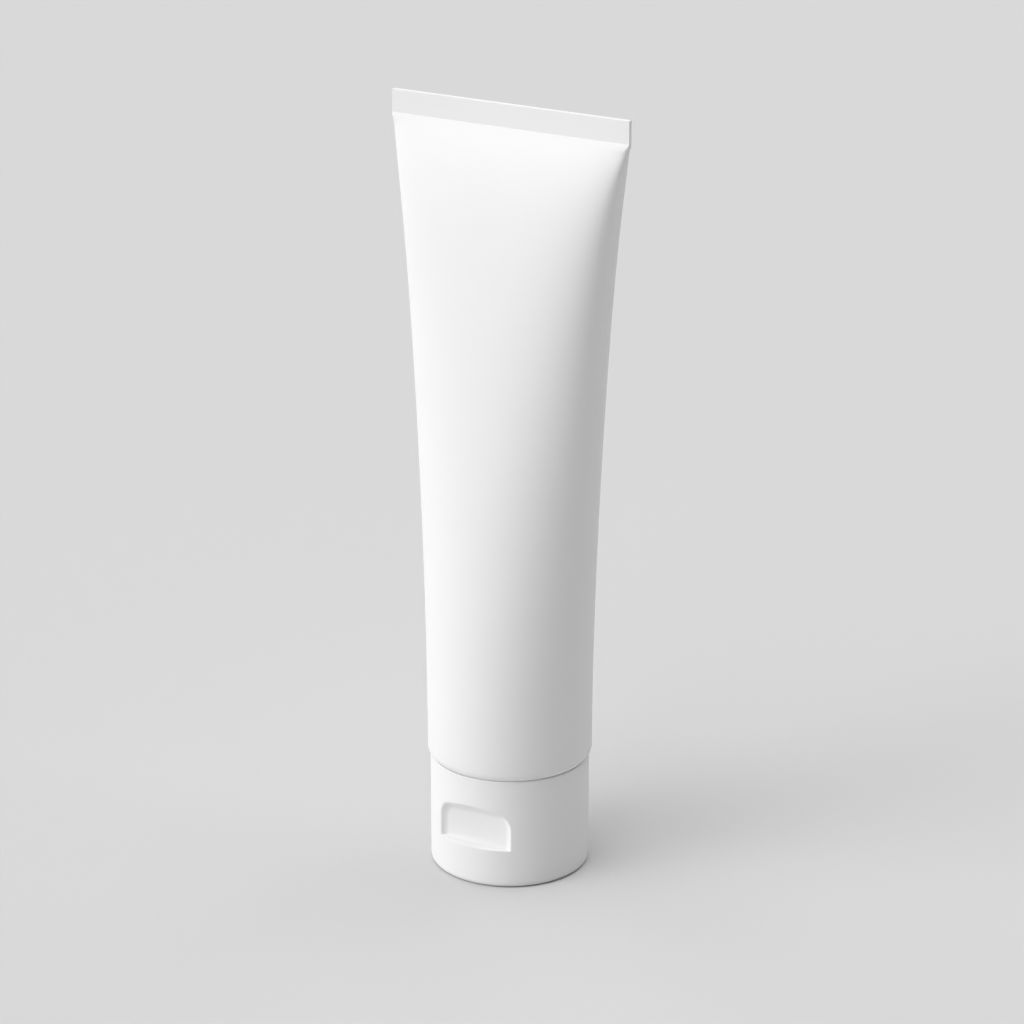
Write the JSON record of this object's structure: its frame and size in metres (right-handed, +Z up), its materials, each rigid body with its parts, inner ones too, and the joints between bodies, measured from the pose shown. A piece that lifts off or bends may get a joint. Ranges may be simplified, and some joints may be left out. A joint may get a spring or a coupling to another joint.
{
  "type": "denture adhesive tube",
  "caption": "Plain white squeeze tube of denture adhesive cream, round below and flat at its crimped end, standing on a flip-top cap with a thumb recess and a living hinge.",
  "frame": {"origin": "centre of the lid's flat outer face, which the tube stands on", "axes": "+Z up the tube from the cap to the seal, X along the seal line, -Y towards the thumb recess, +Y towards the lid's hinge"},
  "size_m": [0.047, 0.03, 0.1419],
  "materials": {
    "sleeve": "soft matt extruded polyethylene, plain white",
    "head": "moulded polyethylene, natural white",
    "cream": "smooth soft cream, faintly pink",
    "cap": "fine spark-eroded matt polypropylene, plain white"
  },
  "bodies": {
    "tube": {"tube_sleeve": "sleeve", "tube_head": "head", "adhesive_cream": "cream", "cap_base": "cap", "cap_hinge": "cap"},
    "lid": {"cap_lid": "cap"}
  },
  "joints": [
    {"name": "lid_hinge", "type": "hinge", "parent": "tube", "child": "lid", "pos_m": [0, 0.0136, 0.00732], "axis": [1, 0, 0], "range_deg": [0, 170], "deforming": ["cap_hinge"]}
  ]
}
